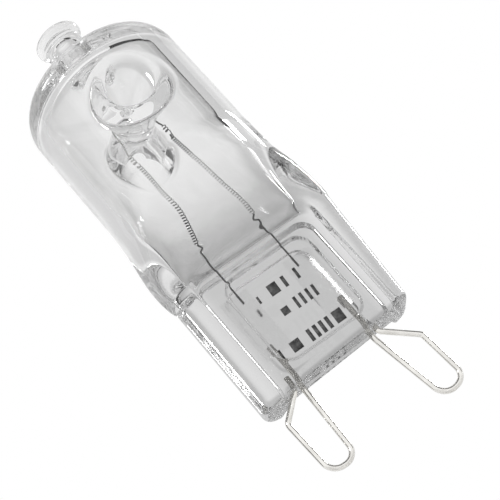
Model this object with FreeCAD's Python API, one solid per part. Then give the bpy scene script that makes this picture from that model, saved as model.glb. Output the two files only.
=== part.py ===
import FreeCAD, Part
import math
import os

from FreeCAD import Vector

# Halogen capsule lamp with a two-loop push-in base, in millimetres.
# +Z runs along the lamp axis from the loops to the glass, X across the flat foot, and the foot's
# front panel faces -Y. The origin is the middle of the foot's lower end.

# Glass tube and dome
tube_diameter = 13.4
tube_wall = 1.3
crown_height = 32.15
crown_radius = 13.0
knuckle_radius = 2.9
crown_wall = 1.7
inner_crown_radius = 11.0
inner_knuckle_radius = 1.8

# Exhaust tip: a hollow stub, melted shut into a small button
tip_length = 3.6
tip_cap_diameter = 3.95
tip_edge_radius = 0.62
tip_neck_diameter = 3.2
tip_root_radius = 0.5
tip_bore_diameter = 2.1
tip_end_wall = 0.9
tip_bore_flare = 0.35

# Two dents, pressed in from the front and the back until they fuse into a pillar
pillar_height = 24.8
pillar_waist_diameter = 3.1
pillar_waist_radius = 2.0
pillar_mouth_radius = 0.6
dent_floor_gap = 1.5
dent_tip_radius = 0.55
dent_half_angle = 15.0
dent_mouth_radius = 0.8
dent_overrun = 1.0

# Shoulder, where the round tube turns into the flat foot
shoulder_top = 19.35
shoulder_bulge = 0.27
shoulder_rounding_rate = 1.4
shoulder_straightening = 4.0
cavity_floor = 10.95
cavity_floor_width = 10.4
cavity_floor_thickness = 0.8
cavity_floor_roundness = 2.6

# Flat foot: two thick ribs with a thinner web between them. The pinched ribs sit a little to one
# side, and the left one runs out into a tail below the web.
foot_width_low = 13.65
foot_width_high = 14.3
foot_thickness = 4.8
foot_roundness = 4.6
foot_offset_low = -0.13
foot_offset_high = 0.27
foot_end_slant = 3.2
foot_end_radius = 0.3
web_end_radius = 0.7
tail_drop = 0.6
tail_end_radius = 0.65
tail_ramp_start = -5.4
tail_ramp_end = -4.6
web_thickness = 3.2
panel_width = 10.6
panel_height = 10.5
panel_corner_radius = 1.1
panel_draft = 0.35
panel_top_slope = 35.0
pad_width = 7.5
pad_top = 9.15
pad_bottom = 1.25
pad_corner_radius = 1.2
pad_depth = 0.25

# Loop pins
pin_wire_diameter = 0.45
pin_spacing = 9.0
pin_offset = -0.25
pin_loop_width = 2.55
pin_loop_end_width = 2.2
pin_length_left = 7.0
pin_length_right = 7.35
pin_end_radius = 1.05
pin_kink_drop_left = 1.95
pin_kink_drop_right = 2.65
pin_kink_radius = 0.5
pin_return_offset = 0.62
pin_return_bend = 0.1
pin_return_depth = 0.9
pin_weld_height = 3.65
pin_splay_left = 2.0
pin_splay_right = 8.5
pin_splay_radius = 1.2

# Foils, sealed in the web
foil_width = 2.4
foil_thickness = 0.04
foil_weld_lap = 0.9
foil_top = 8.45
foil_inset = 0.35

# Inner leads, from the foils to the filament
lead_wire_diameter = 0.15
lead_offset = 0.7
lead_jog = 0.35
lead_jog_drop = 0.65
lead_jog_rise = 0.25
lead_bend_radius = 0.12

# Filament: a coil on each leg and a plain wire over the pillar
coil_diameter = 0.4
saddle_wire_diameter = 0.14
saddle_clearance = 0.02
coil_left = [(-1.85, 23.0), (-1.8, 18.7), (-1.8, 17.0), (-2.6, 13.6)]
coil_right = [(1.8, 23.6), (1.9, 20.25), (2.2, 16.95), (2.45, 14.65), (2.3, 13.1)]

foot_point_count = 32
shoulder_point_count = 16
shoulder_section_count = 5
end_section_count = 3
ellipse_roundness = 2.0
TOUCHING = 1e-6


def smooth(share):
    """Ease from 0 to 1 with level ends."""
    return share * share * (3.0 - 2.0 * share)


def blend(low, high, share):
    return low + (high - low) * share


def mid_arc(start, centre, end):
    """Arc in a plane from start to end round a centre, on the short side."""
    radius = (start - centre).Length
    middle = (start - centre) + (end - centre)
    middle.normalize()
    return Part.Arc(start, centre + middle * radius, end).toShape()


def line(start, end):
    return Part.LineSegment(start, end).toShape()


def rounded_path(points, radii):
    """Straight runs joined by tangent arcs, one radius for each inner point."""
    edges = []
    start = points[0]
    for index, radius in enumerate(radii, start=1):
        corner = points[index]
        back = (points[index - 1] - corner).normalize()
        ahead = (points[index + 1] - corner).normalize()
        half_angle = back.getAngle(ahead) / 2.0
        reach = radius / math.tan(half_angle)
        bisector = (back + ahead).normalize()
        centre = corner + bisector * (radius / math.sin(half_angle))
        enter = corner + back * reach
        leave = corner + ahead * reach
        if (enter - start).Length > TOUCHING:
            edges.append(line(start, enter))
        edges.append(Part.Arc(enter, centre - bisector * radius, leave).toShape())
        start = leave
    edges.append(line(start, points[-1]))
    return Part.Wire(edges)


def round_wire(path, diameter):
    """Solid wire of one diameter along a path."""
    first = path.Edges[0]
    start = first.valueAt(first.FirstParameter)
    direction = first.tangentAt(first.FirstParameter)
    profile = Part.Face(Part.Wire([Part.makeCircle(diameter / 2.0, start, direction)]))
    return path.makePipe(profile)


def section(half_x, half_y, roundness, height, count, slant=0.0, offset=0.0):
    """Closed smooth outline, from an ellipse at roundness 2 to a rounded bar at 4 and more."""
    points = []
    for index in range(count):
        angle = 2.0 * math.pi * index / count
        cosine = math.cos(angle)
        sine = math.sin(angle)
        x = half_x * math.copysign(abs(cosine) ** (2.0 / roundness), cosine)
        y = half_y * math.copysign(abs(sine) ** (2.0 / roundness), sine)
        points.append(Vector(x + offset, y, height + x * math.tan(math.radians(slant))))
    curve = Part.BSplineCurve()
    knots = [index / count for index in range(count + 1)]
    curve.interpolate(Points=points, PeriodicFlag=True, Parameters=knots)
    return Part.Wire([curve.toShape()])


def dome_outline(radius, crown, sphere_radius, knuckle):
    """Knuckle start, knuckle centre, where the crown begins, and the crown's centre."""
    crown_centre = Vector(0, 0, crown - sphere_radius)
    reach = sphere_radius - knuckle
    offset = radius - knuckle
    rise = math.sqrt(reach * reach - offset * offset)
    knuckle_centre = crown_centre + Vector(offset, 0, rise)
    join = crown_centre + (knuckle_centre - crown_centre) * (sphere_radius / reach)
    start = knuckle_centre + Vector(knuckle, 0, 0)
    return start, knuckle_centre, join, crown_centre


def on_crown(crown_centre, sphere_radius, x):
    return crown_centre + Vector(x, 0, math.sqrt(sphere_radius ** 2 - x ** 2))


def revolve(edges):
    face = Part.Face(Part.Wire(edges))
    return face.revolve(Vector(0, 0, 0), Vector(0, 0, 1), 360)


def outer_bulb():
    """Outside of the tube, dome and exhaust tip."""
    radius = tube_diameter / 2.0
    start, knuckle_centre, join, crown_centre = dome_outline(
        radius, crown_height, crown_radius, knuckle_radius)
    neck = tip_neck_diameter / 2.0
    root_x = neck + tip_root_radius
    root_centre = crown_centre + Vector(
        root_x, 0, math.sqrt((crown_radius + tip_root_radius) ** 2 - root_x ** 2))
    root_low = crown_centre + (root_centre - crown_centre).normalize() * crown_radius
    root_high = root_centre - Vector(tip_root_radius, 0, 0)
    top = crown_height + tip_length
    edge_centre = Vector(tip_cap_diameter / 2.0 - tip_edge_radius, 0, top - tip_edge_radius)
    cap_top = edge_centre + Vector(0, 0, tip_edge_radius)
    cap_side = edge_centre + Vector(tip_edge_radius, 0, 0)
    drop = math.acos((neck - edge_centre.x) / tip_edge_radius)
    cap_low = edge_centre + Vector(neck - edge_centre.x, 0, -math.sin(drop) * tip_edge_radius)
    crown_middle = on_crown(crown_centre, crown_radius, (join.x + root_low.x) / 2.0)
    foot = Vector(0, 0, shoulder_top)
    return revolve([
        line(foot, Vector(radius, 0, shoulder_top)),
        line(Vector(radius, 0, shoulder_top), start),
        mid_arc(start, knuckle_centre, join),
        Part.Arc(join, crown_middle, root_low).toShape(),
        mid_arc(root_low, root_centre, root_high),
        line(root_high, cap_low),
        mid_arc(cap_low, edge_centre, cap_side),
        mid_arc(cap_side, edge_centre, cap_top),
        line(cap_top, Vector(0, 0, top)),
        line(Vector(0, 0, top), foot)])


def inner_bulb():
    """Space inside the tube, dome and tip."""
    radius = tube_diameter / 2.0 - tube_wall
    crown = crown_height - crown_wall
    start, knuckle_centre, join, crown_centre = dome_outline(
        radius, crown, inner_crown_radius, inner_knuckle_radius)
    bore = tip_bore_diameter / 2.0
    mouth = on_crown(crown_centre, inner_crown_radius, bore + tip_bore_flare)
    crown_middle = on_crown(crown_centre, inner_crown_radius, (join.x + mouth.x) / 2.0)
    flare_top = Vector(bore, 0, mouth.z + 2.0 * tip_bore_flare)
    top = crown_height + tip_length - tip_end_wall
    bore_end = Vector(bore, 0, top - bore)
    foot = Vector(0, 0, shoulder_top)
    return revolve([
        line(foot, Vector(radius, 0, shoulder_top)),
        line(Vector(radius, 0, shoulder_top), start),
        mid_arc(start, knuckle_centre, join),
        Part.Arc(join, crown_middle, mouth).toShape(),
        line(mouth, flare_top),
        line(flare_top, bore_end),
        mid_arc(bore_end, Vector(0, 0, top - bore), Vector(0, 0, top)),
        line(Vector(0, 0, top), foot)])


def outer_shoulder():
    """Shoulder outside, blended from the foot's top to the tube."""
    radius = tube_diameter / 2.0
    wires = []
    for index in range(shoulder_section_count):
        share = index / shoulder_section_count
        ease = smooth(share)
        half_x = blend(foot_width_high / 2.0, radius, ease)
        half_x += shoulder_bulge * math.sin(math.pi * math.sqrt(share))
        half_y = blend(foot_thickness / 2.0, radius, ease)
        rounding = smooth(min(1.0, shoulder_rounding_rate * share))
        roundness = blend(foot_roundness, ellipse_roundness, rounding)
        height = blend(panel_height, shoulder_top, share)
        offset = foot_offset_high * (1.0 - share) ** shoulder_straightening
        wires.append(section(half_x, half_y, roundness, height, shoulder_point_count,
                             offset=offset))
    wires.append(Part.Wire([Part.makeCircle(radius, Vector(0, 0, shoulder_top))]))
    return Part.makeLoft(wires, True, False)


def inner_shoulder():
    """Space inside the shoulder, narrowing to a slot above the foot."""
    radius = tube_diameter / 2.0 - tube_wall
    wires = []
    for index in range(shoulder_section_count):
        share = index / shoulder_section_count
        ease = smooth(share)
        half_x = blend(cavity_floor_width / 2.0, radius, ease)
        half_y = blend(cavity_floor_thickness / 2.0, radius, ease)
        roundness = blend(cavity_floor_roundness, ellipse_roundness, ease)
        height = blend(cavity_floor, shoulder_top, share)
        wires.append(section(half_x, half_y, roundness, height, shoulder_point_count))
    wires.append(Part.Wire([Part.makeCircle(radius, Vector(0, 0, shoulder_top))]))
    return Part.makeLoft(wires, True, False)


def rib_bar(end_height, slant, end_radius):
    """Bar of the foot's outline from a chosen lower end, rounded there, up to the panels' top."""
    half_y = foot_thickness / 2.0
    wires = []
    for index in range(end_section_count + 1):
        turn = math.pi / 2.0 * index / end_section_count
        inset = end_radius * (1.0 - math.sin(turn))
        height = end_height + end_radius * (1.0 - math.cos(turn))
        wires.append(section(foot_width_low / 2.0 - inset, half_y - inset, foot_roundness, height,
                             foot_point_count, slant, foot_offset_low))
    high = section(foot_width_high / 2.0, half_y, foot_roundness, panel_height,
                   foot_point_count, offset=foot_offset_high)
    end = Part.makeLoft(wires, True, False)
    return end.fuse(Part.makeLoft([wires[-1], high], True, True))


def web_end(x):
    """Height of the web's lower end, which runs a little askew."""
    return (x - foot_offset_low) * math.tan(math.radians(foot_end_slant))


def foot_block():
    """Foot before its panels are pressed in: a bar whose left rib runs out into a tail."""
    reach = foot_width_high
    split = panel_corner_radius - panel_width / 2.0
    ramp_low = Vector(tail_ramp_start, -reach, -tail_drop)
    ramp_high = Vector(tail_ramp_end, -reach, web_end(tail_ramp_end))
    side_low = Vector(split, -reach, web_end(split))
    side_high = Vector(split, -reach, panel_height)
    corner_high = Vector(-reach, -reach, panel_height)
    corner_low = Vector(-reach, -reach, -tail_drop)
    left = Part.Face(Part.makePolygon(
        [corner_low, ramp_low, ramp_high, side_low, side_high, corner_high, corner_low]))
    tail = rib_bar(-tail_drop, 0.0, tail_end_radius).common(
        left.extrude(Vector(0, 2.0 * reach, 0)))
    right = Part.makeBox(2.0 * reach, 2.0 * reach, 2.0 * panel_height,
                         Vector(split, -reach, -panel_height))
    return rib_bar(0.0, foot_end_slant, foot_end_radius).common(right).fuse(tail)


def rounded_rectangle(half_width, low, high, radius, y):
    """Wire in a plane of constant Y with two rounded top corners."""
    left_low = Vector(-half_width, y, low)
    left_high = Vector(-half_width, y, high - radius)
    top_left = Vector(-half_width + radius, y, high)
    top_right = Vector(half_width - radius, y, high)
    right_high = Vector(half_width, y, high - radius)
    right_low = Vector(half_width, y, low)
    return Part.Wire([
        line(left_low, left_high),
        mid_arc(left_high, Vector(-half_width + radius, y, high - radius), top_left),
        line(top_left, top_right),
        mid_arc(top_right, Vector(half_width - radius, y, high - radius), right_high),
        line(right_high, right_low),
        line(right_low, left_low)])


def panel_recess(side):
    """Recess on one face of the foot, down to the web, open at the foot's end."""
    reach = foot_thickness / 2.0
    depth = reach - web_thickness / 2.0
    rise = 2.0 * depth * math.tan(math.radians(panel_top_slope))
    below = -tail_drop - depth
    floor = rounded_rectangle(panel_width / 2.0, below, panel_height,
                              panel_corner_radius, side * web_thickness / 2.0)
    mouth = rounded_rectangle(panel_width / 2.0 + 2.0 * panel_draft, below, panel_height + rise,
                              panel_corner_radius, side * (reach + depth))
    return Part.makeLoft([floor, mouth], True, True)


def pad_recess(side):
    """Shallow pad in the panel's floor, over the foils."""
    face = Part.Face(rounded_rectangle(pad_width / 2.0, pad_bottom, pad_top,
                                       pad_corner_radius, side * web_thickness / 2.0))
    shift = Vector(0, -side * pad_depth, 0)
    return face.extrude(shift)


def web_end_cutter(side):
    """Rounds the web's lower edge between the tail and the right rib."""
    radius = web_end_radius
    start_x = tail_ramp_end
    end_x = panel_width / 2.0
    outer = side * web_thickness / 2.0
    base = web_end(start_x)
    centre = Vector(start_x, outer - side * radius, base + radius)
    side_point = Vector(start_x, outer, base + radius)
    low_point = Vector(start_x, outer - side * radius, base)
    corner = Vector(start_x, outer + side * radius, base - radius)
    face = Part.Face(Part.Wire([
        mid_arc(side_point, centre, low_point),
        line(low_point, Vector(start_x, low_point.y, corner.z)),
        line(Vector(start_x, low_point.y, corner.z), corner),
        line(corner, Vector(start_x, corner.y, side_point.z)),
        line(Vector(start_x, corner.y, side_point.z), side_point)]))
    return face.extrude(Vector(end_x - start_x, 0, web_end(end_x) - base))


def turned_to_y(edges):
    """Solid turned round the Y axis through the pillar from a half outline in the XY plane."""
    face = Part.Face(Part.Wire(edges))
    solid = face.revolve(Vector(0, 0, 0), Vector(0, 1, 0), 360)
    solid.translate(Vector(0, 0, pillar_height))
    return solid


def dent(side):
    """Funnel pressed in from one side, with a round bottom."""
    reach = tube_diameter / 2.0 + dent_overrun
    angle = math.radians(dent_half_angle)
    centre_y = dent_floor_gap / 2.0 + dent_tip_radius
    centre = Vector(0, side * centre_y, 0)
    bottom = Vector(0, side * dent_floor_gap / 2.0, 0)
    tangent = centre + Vector(dent_tip_radius * math.cos(angle),
                              -side * dent_tip_radius * math.sin(angle), 0)
    mouth_x = tangent.x + (reach - abs(tangent.y)) * math.tan(angle)
    mouth = Vector(mouth_x, side * reach, 0)
    return turned_to_y([
        mid_arc(bottom, centre, tangent),
        line(tangent, mouth),
        line(mouth, Vector(0, side * reach, 0)),
        line(Vector(0, side * reach, 0), bottom)])


def pillar():
    """Glass round the two dents, thinnest where they meet on the axis."""
    end_y = tube_diameter / 2.0
    waist = pillar_waist_diameter / 2.0
    angle = math.radians(dent_half_angle)
    join_x = waist + pillar_waist_radius * (1.0 - math.cos(angle))
    join_y = pillar_waist_radius * math.sin(angle)
    end_x = join_x + (end_y - join_y) * math.tan(angle)
    return turned_to_y([
        line(Vector(end_x, -end_y, 0), Vector(join_x, -join_y, 0)),
        Part.Arc(Vector(join_x, -join_y, 0), Vector(waist, 0, 0), Vector(join_x, join_y, 0)).toShape(),
        line(Vector(join_x, join_y, 0), Vector(end_x, end_y, 0)),
        line(Vector(end_x, end_y, 0), Vector(0, end_y, 0)),
        line(Vector(0, end_y, 0), Vector(0, -end_y, 0)),
        line(Vector(0, -end_y, 0), Vector(end_x, -end_y, 0))])


def mouth_edges(shape, radius):
    """Edges round the pillar's height where the dents or the pillar meet a wall of one radius."""
    found = []
    for edge in shape.Edges:
        box = edge.BoundBox
        at_wall = abs(max(abs(box.YMin), abs(box.YMax)) - radius) < dent_mouth_radius
        offset = Vector(box.Center.x, 0, box.Center.z - pillar_height).Length
        if at_wall and offset < dent_mouth_radius and box.XLength > dent_mouth_radius:
            found.append(edge)
    return found


def pin_leg_x(side):
    """Where the pin's inner leg runs in the foot."""
    return pin_offset + side * (pin_spacing / 2.0 - pin_loop_width / 2.0)


def loop_pin(side, length, kink_drop, splay):
    """Wire from its foil down through the foot, round the open loop and back into the glass."""
    leg_x = pin_leg_x(side)
    return_x = leg_x + side * pin_return_offset
    angle = math.radians(splay)
    exit_point = Vector(leg_x, 0, 0)

    def below(across, down):
        """Point of the loop, from its leg outwards and down along the splayed direction."""
        x = across * math.cos(angle) + down * math.sin(angle)
        z = across * math.sin(angle) - down * math.cos(angle)
        return exit_point + Vector(side * x, 0, z)

    bottom = length - pin_wire_diameter / 2.0
    points = [
        Vector(leg_x, 0, pin_weld_height),
        exit_point - Vector(0, 0, pin_wire_diameter),
        below(0, bottom),
        below(pin_loop_end_width, bottom),
        below(pin_loop_width, kink_drop),
        Vector(return_x, 0, -pin_return_bend),
        Vector(return_x, 0, pin_return_depth)]
    radii = [pin_splay_radius, pin_end_radius, pin_end_radius, pin_kink_radius, pin_kink_radius]
    return round_wire(rounded_path(points, radii), pin_wire_diameter)


def foil_place(side):
    """Middle of the foil in X, and its middle plane in Y, behind the pin wire."""
    return pin_leg_x(side) - side * foil_inset, pin_wire_diameter / 2.0 + foil_thickness / 2.0


def foil(side):
    x, y = foil_place(side)
    low = pin_weld_height - foil_weld_lap
    corner = Vector(x - foil_width / 2.0, y - foil_thickness / 2.0, low)
    return Part.makeBox(foil_width, foil_thickness, foil_top - low, corner)


def lead(side, coil_end):
    """Inner lead, from the face of its foil to the end of the coil."""
    x, y = foil_place(side)
    x = x - side * (lead_offset - foil_inset)
    y = y - foil_thickness / 2.0 - lead_wire_diameter / 2.0
    end_x, end_z = coil_end
    points = [
        Vector(x, y, foil_top - foil_weld_lap),
        Vector(x, y, foil_top + foil_weld_lap),
        Vector(x, 0, end_z - lead_jog_drop),
        Vector(x - side * lead_jog, 0, end_z - lead_jog_drop + lead_jog_rise),
        Vector(end_x, 0, end_z)]
    radii = [pin_kink_radius, lead_bend_radius, lead_bend_radius]
    return round_wire(rounded_path(points, radii), lead_wire_diameter)


def coil_leg(points):
    """Outer body of one coiled leg."""
    path = [Vector(x, 0, z) for x, z in points]
    radii = []
    for index in range(1, len(path) - 1):
        back = path[index - 1] - path[index]
        ahead = path[index + 1] - path[index]
        turn = math.pi - back.getAngle(ahead)
        radii.append(0.45 * min(back.Length, ahead.Length) / math.tan(turn / 2.0))
    return round_wire(rounded_path(path, radii), coil_diameter)


def saddle():
    """Plain wire from one coil over the pillar to the other."""
    radius = (pillar_waist_diameter + saddle_wire_diameter) / 2.0 + saddle_clearance
    points = [
        Vector(coil_left[0][0], 0, coil_left[0][1]),
        Vector(-radius, 0, pillar_height - radius / 2.0),
        Vector(-radius, 0, pillar_height + radius),
        Vector(radius, 0, pillar_height + radius),
        Vector(radius, 0, pillar_height - radius / 2.0),
        Vector(coil_right[0][0], 0, coil_right[0][1])]
    radii = [radius / 2.0, radius, radius, radius / 2.0]
    return round_wire(rounded_path(points, radii), saddle_wire_diameter)


def filament():
    return saddle().fuse([coil_leg(coil_left), coil_leg(coil_right)])


def glass_body():
    """Envelope before the metal is sealed in."""
    outer_radius = tube_diameter / 2.0
    outside = outer_bulb().fuse([outer_shoulder(), foot_block()])
    outside = outside.cut([dent(-1), dent(1)])
    outside = outside.makeFillet(dent_mouth_radius, mouth_edges(outside, outer_radius))
    inside = inner_bulb().cut(pillar())
    inside = inside.makeFillet(pillar_mouth_radius, mouth_edges(inside, outer_radius - tube_wall))
    inside = inside.fuse(inner_shoulder())
    cutters = [inside]
    for side in (-1, 1):
        cutters += [panel_recess(side), pad_recess(side), web_end_cutter(side)]
    return outside.cut(cutters)


metal = {
    "filament": filament(),
    "inner_lead_left": lead(-1, coil_left[-1]).cut(coil_leg(coil_left)),
    "inner_lead_right": lead(1, coil_right[-1]).cut(coil_leg(coil_right)),
    "foil_left": foil(-1),
    "foil_right": foil(1),
    "pin_loop_left": loop_pin(-1, pin_length_left, pin_kink_drop_left, pin_splay_left),
    "pin_loop_right": loop_pin(1, pin_length_right, pin_kink_drop_right, pin_splay_right),
}

sealed_in = [shape for name, shape in metal.items() if name != "filament"]
nodes = {"glass_envelope": glass_body().cut(sealed_in)}
nodes.update(metal)

os.makedirs("parts", exist_ok=True)
for name, shape in nodes.items():
    solid = shape.Solids[0] if len(shape.Solids) == 1 else shape
    box = solid.BoundBox
    print(name, "solids", len(shape.Solids), "valid", solid.isValid(), "volume %.3f" % solid.Volume,
          "x %.2f..%.2f y %.2f..%.2f z %.2f..%.2f" % (
              box.XMin, box.XMax, box.YMin, box.YMax, box.ZMin, box.ZMax))
    solid.exportStep("parts/%s.step" % name)
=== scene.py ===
import math

import bpy
from mathutils import Matrix, Vector


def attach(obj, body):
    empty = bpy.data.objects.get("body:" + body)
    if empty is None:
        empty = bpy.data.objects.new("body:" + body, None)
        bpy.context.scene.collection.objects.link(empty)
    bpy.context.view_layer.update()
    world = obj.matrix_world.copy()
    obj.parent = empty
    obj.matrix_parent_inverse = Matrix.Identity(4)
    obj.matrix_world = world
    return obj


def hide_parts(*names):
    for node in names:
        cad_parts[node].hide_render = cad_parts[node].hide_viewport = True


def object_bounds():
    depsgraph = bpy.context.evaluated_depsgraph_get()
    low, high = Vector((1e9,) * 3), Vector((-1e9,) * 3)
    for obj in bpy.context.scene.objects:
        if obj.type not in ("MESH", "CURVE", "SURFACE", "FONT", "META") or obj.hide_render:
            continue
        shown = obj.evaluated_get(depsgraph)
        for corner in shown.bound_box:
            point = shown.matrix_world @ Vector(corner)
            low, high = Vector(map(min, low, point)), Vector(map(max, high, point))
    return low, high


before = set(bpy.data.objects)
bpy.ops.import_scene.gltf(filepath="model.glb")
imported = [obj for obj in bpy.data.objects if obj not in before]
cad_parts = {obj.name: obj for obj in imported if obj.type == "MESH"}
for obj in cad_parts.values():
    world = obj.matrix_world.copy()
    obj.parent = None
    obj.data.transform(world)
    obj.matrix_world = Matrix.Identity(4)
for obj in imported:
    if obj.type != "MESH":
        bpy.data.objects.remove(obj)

# Halogen capsule lamp with a two-loop push-in base. Sizes are in millimetres, drawn at MM metres.
# +Z runs along the lamp axis from the loops to the glass, X across the flat foot, and the foot's
# front panel faces -Y.

cad_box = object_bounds()
scene = bpy.context.scene
scene.view_settings.view_transform = "Standard"
scene.cycles.max_bounces = 32
scene.cycles.transmission_bounces = 32
scene.cycles.glossy_bounces = 24
MM = 0.001

# Glass tube and dome
TUBE_RADIUS = 6.7
TUBE_WALL = 1.3
CROWN_HEIGHT = 32.15
CROWN_RADIUS = 13.0
KNUCKLE_RADIUS = 2.9
CROWN_WALL = 1.7
INNER_CROWN_RADIUS = 11.0
INNER_KNUCKLE_RADIUS = 1.8

# Exhaust tip
TIP_LENGTH = 3.6
TIP_CAP_RADIUS = 1.975
TIP_EDGE_RADIUS = 0.62
TIP_NECK_RADIUS = 1.6
TIP_ROOT_RADIUS = 0.5
TIP_BORE_RADIUS = 1.05
TIP_END_WALL = 0.9
TIP_BORE_FLARE = 0.35

# Dents and the pillar that they make
PILLAR_HEIGHT = 24.8
PILLAR_WAIST = 1.55
PILLAR_WAIST_ROUND = 2.0
PILLAR_MOUTH_RADIUS = 0.6
DENT_FLOOR_GAP = 1.5
DENT_TIP_RADIUS = 0.55
DENT_HALF_ANGLE = math.radians(15.0)
DENT_MOUTH_RADIUS = 0.8

# Shoulder
SHOULDER_TOP = 19.35
SHOULDER_BULGE = 0.23
SHOULDER_ROUNDING_RATE = 1.4
SHOULDER_STRAIGHTENING = 4
CAVITY_FLOOR = 10.95
CAVITY_FLOOR_WIDTH = 10.4
CAVITY_FLOOR_THICKNESS = 0.8
CAVITY_FLOOR_ROUND = 0.35
CAVITY_FLOOR_SQUARING = 0.6

# Flat foot, with a pressed panel and a shallow pad on each side
FOOT_WIDTH_LOW = 13.65
FOOT_WIDTH_HIGH = 14.3
FOOT_THICKNESS = 4.8
FOOT_ROUNDNESS = 4.6
FOOT_OFFSET_LOW = -0.13
FOOT_OFFSET_HIGH = 0.27
FOOT_END_SLANT = math.tan(math.radians(3.2))
FOOT_END_RADIUS = 0.3
WEB_END_RADIUS = 0.7
TAIL_DROP = 0.6
TAIL_END_RADIUS = 0.65
TAIL_RAMP_START = -5.4
TAIL_RAMP_END = -4.6
TAIL_FADE = 5.0
WEB_THICKNESS = 3.2
PANEL_HALF_WIDTH = 5.3
PANEL_HEIGHT = 10.5
PANEL_CORNER = 1.1
PANEL_DRAFT = 0.35
PANEL_TOP_SLOPE = math.radians(35.0)
PANEL_TOP_RISE = (FOOT_THICKNESS - WEB_THICKNESS) * math.tan(PANEL_TOP_SLOPE)
PANEL_EDGE_ROUND = 0.25
PANEL_FLOOR_ROUND = 0.12
PAD_HALF_WIDTH = 3.75
PAD_LOW = 1.25
PAD_HIGH = 9.15
PAD_CORNER = 1.2
PAD_DEPTH = 0.25
PAD_EDGE = 0.2

# Loop pins; -1 is the left one, 1 the right one
PIN_WIRE = 0.45
PIN_SPACING = 9.0
PIN_LOOP_WIDTH = 2.55
PIN_LOOP_END_WIDTH = 2.2
PIN_OFFSET = -0.25
PIN_LENGTH = {-1: 7.0, 1: 7.35}
PIN_END_RADIUS = 1.05
PIN_KINK_DROP = {-1: 1.95, 1: 2.65}
PIN_KINK_RADIUS = 0.5
PIN_RETURN_OFFSET = 0.62
PIN_RETURN_BEND = 0.1
PIN_RETURN_DEPTH = 0.9
PIN_WELD_HEIGHT = 3.65
PIN_SPLAY = {-1: math.radians(2.0), 1: math.radians(8.5)}
PIN_SPLAY_RADIUS = 1.2

# Foils and inner leads
FOIL_WELD_LAP = 0.9
FOIL_TOP = 8.45
LEAD_WIRE = 0.15
LEAD_OFFSET = 0.7
LEAD_JOG = 0.35
LEAD_JOG_DROP = 0.65
LEAD_JOG_RISE = 0.25
LEAD_BEND_RADIUS = 0.12

# Filament, with the middle lines of its two coiled legs as X and Z
COIL_DIAMETER = 0.4
COIL_WIRE = 0.075
COIL_PITCH = 0.235
COIL_END_RUN = 0.2
SADDLE_WIRE = 0.14
SADDLE_CLEARANCE = 0.02
COIL_BEND_SHARE = 0.45
COIL_LEFT = [(-1.85, 23.0), (-1.8, 18.7), (-1.8, 17.0), (-2.6, 13.6)]
COIL_RIGHT = [(1.8, 23.6), (1.9, 20.25), (2.2, 16.95), (2.45, 14.65), (2.3, 13.1)]

# Painted shade: the quartz's grey tint, on its surface and through its volume, stands in for dark
# surroundings seen through the clear glass, from the middle of the press to the tube
QUARTZ_IOR = 1.46
QUARTZ_PAINTED_SHADE_PER_METRE = 14.0
PRESS_PAINTED_SHADE_TONE = 0.57
TUBE_PAINTED_SHADE_TONE = 0.92
RIB_START = 4.2
RIB_END = 6.2
RIB_SHARE = 0.7

# Plain ink marks on the front pad: middle X and Z, half width and half height
PAD_FACE = WEB_THICKNESS / 2.0 - PAD_DEPTH
INK_BITE = 0.004
INK_THICKNESS = 0.012
INK_LEAN = 0.08
INK_MARKS = [
    (-2.05, 6.65, 0.09, 0.32), (-0.65, 6.75, 0.40, 0.48), (0.35, 6.75, 0.14, 0.48),
    (1.45, 6.75, 0.12, 0.48), (-1.05, 4.8, 0.30, 0.32), (0.0, 4.85, 0.12, 0.50),
    (0.55, 4.85, 0.12, 0.50), (1.1, 4.85, 0.12, 0.50), (1.65, 4.85, 0.12, 0.50),
    (-3.45, 2.2, 0.09, 0.42), (-2.15, 2.15, 0.42, 0.44), (-0.85, 2.15, 0.15, 0.52),
    (-0.3, 2.15, 0.15, 0.52), (0.25, 2.15, 0.15, 0.52), (0.8, 2.15, 0.15, 0.52),
    (1.7, 2.15, 0.40, 0.52)]

# Darker stretches of the coils: heights over which the coil goes from bright to dark
LEFT_DARKENING = (18.0, 15.5)
RIGHT_DARKENING = (20.0, 21.0)

# Mesh density. Dense places are a share of a section's quarter, the density added there and its
# spread. Bands of the foot are a height and the step of the rings up to it.
QUARTER = 60
DENSE_PLACES = [(0.365, 2.6, 0.045), (0.56, 1.2, 0.02)]
HOLE_LOW = 21.2
HOLE_HIGH = 28.4
HOLE_ROWS = 28
FOOT_BANDS = [(2.2, 0.14), (8.4, 0.45), (11.9, 0.08)]
FLOOR_STEP = 0.05
SHOULDER_STEP = 0.25
TUBE_STEP = 0.4
TIP_STEP = 0.25
OUTER_HOLE_ANGLE = math.radians(33.0)
INNER_HOLE_ANGLE = math.radians(43.0)
WIRE_SIDES = 20
LEAD_SIDES = 12
COIL_SIDES = 8
COIL_STEPS = 16
ARC_STEP = math.radians(6.0)
SAME_POINT = 1e-5

# Camera, from the photograph
PHOTO_SIZE = 500.0
FOCAL_PIXELS = 2069.5
SENSOR_WIDTH = 36.0
CAMERA_AZIMUTH = math.radians(17.5)
CAMERA_RISE = math.radians(23.7)
CAMERA_ROLL = math.radians(-41.6)
AIM_POINT = Vector((0, 0, 16.85))
AIM_PIXEL = (198.1, 199.2)
AIM_DISTANCE = 155.0

# Studio, in metres
FLOOR_GAP = 0.0002
FLOOR_REACH = 0.6
LAMP_AIM = Vector((0, 0, 0.014))
WINDOW_OPENING = 0.05
CARD_DISTANCE = 0.24


def smooth(share):
    """Ease from 0 to 1 with level ends."""
    share = min(1.0, max(0.0, share))
    return share * share * (3.0 - 2.0 * share)


def blend(low, high, share):
    """Value at a share of the way from low to high."""
    return low + (high - low) * share


def soft_min(a, b, width):
    """Smaller of two values, rounded where they are closer than a width."""
    share = min(1.0, max(0.0, 0.5 + 0.5 * (b - a) / width))
    return blend(b, a, share) - width * share * (1.0 - share)


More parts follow.
